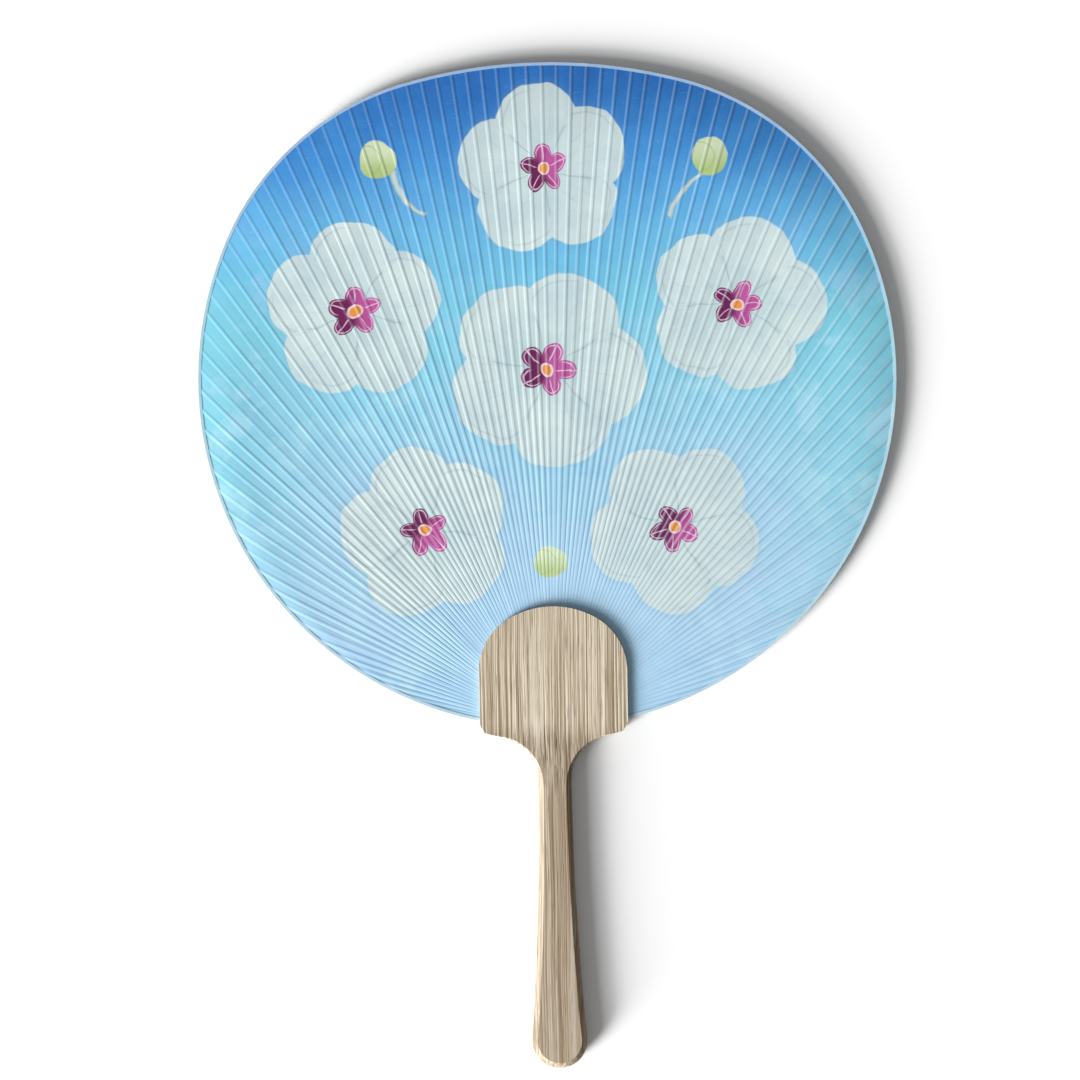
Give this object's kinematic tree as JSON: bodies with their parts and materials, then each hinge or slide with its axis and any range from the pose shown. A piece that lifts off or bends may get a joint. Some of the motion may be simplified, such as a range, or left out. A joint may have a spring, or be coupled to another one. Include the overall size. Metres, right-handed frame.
{
  "type": "round paper hand fan",
  "caption": "Round rigid hand fan: ribbed paper leaf with an edging strip, its root slotted into an arched one-piece wooden handle.",
  "frame": {"origin": "on the back face of the grip, in the middle of its length, where the hand holds it", "axes": "+Y along the handle towards the top of the leaf, +Z out of the front of the fan, +X to the right seen from the front"},
  "size_m": [0.2512, 0.3617, 0.008],
  "materials": {
    "handle_wood": "matte",
    "leaf_paper": "matte",
    "edging_paper": "matte",
    "rib_bamboo": "satin"
  },
  "bodies": {
    "root": {"handle": "handle_wood", "front_paper": "leaf_paper", "back_paper": "leaf_paper", "edging_strip": "edging_paper", "centre_rib": "rib_bamboo", "rib_pair_01": "rib_bamboo", "rib_pair_02": "rib_bamboo", "rib_pair_03": "rib_bamboo", "rib_pair_04": "rib_bamboo", "rib_pair_05": "rib_bamboo", "rib_pair_06": "rib_bamboo", "rib_pair_07": "rib_bamboo", "rib_pair_08": "rib_bamboo", "rib_pair_09": "rib_bamboo", "rib_pair_10": "rib_bamboo", "rib_pair_11": "rib_bamboo", "rib_pair_12": "rib_bamboo", "rib_pair_13": "rib_bamboo", "rib_pair_14": "rib_bamboo", "rib_pair_15": "rib_bamboo", "rib_pair_16": "rib_bamboo", "rib_pair_17": "rib_bamboo", "rib_pair_18": "rib_bamboo", "rib_pair_19": "rib_bamboo", "rib_pair_20": "rib_bamboo", "rib_pair_21": "rib_bamboo", "rib_pair_22": "rib_bamboo", "rib_pair_23": "rib_bamboo", "rib_pair_24": "rib_bamboo", "rib_pair_25": "rib_bamboo", "rib_pair_26": "rib_bamboo", "rib_pair_27": "rib_bamboo", "rib_pair_28": "rib_bamboo", "rib_pair_29": "rib_bamboo", "rib_pair_30": "rib_bamboo", "rib_pair_31": "rib_bamboo", "rib_pair_32": "rib_bamboo", "rib_pair_33": "rib_bamboo", "rib_pair_34": "rib_bamboo", "rib_pair_35": "rib_bamboo", "rib_pair_36": "rib_bamboo", "rib_pair_37": "rib_bamboo", "rib_pair_38": "rib_bamboo", "rib_pair_39": "rib_bamboo", "rib_pair_40": "rib_bamboo", "rib_pair_41": "rib_bamboo", "rib_pair_42": "rib_bamboo", "rib_pair_43": "rib_bamboo", "rib_pair_44": "rib_bamboo", "rib_pair_45": "rib_bamboo", "rib_pair_46": "rib_bamboo", "rib_pair_47": "rib_bamboo", "rib_pair_48": "rib_bamboo", "rib_pair_49": "rib_bamboo", "rib_pair_50": "rib_bamboo"}
  },
  "joints": []
}
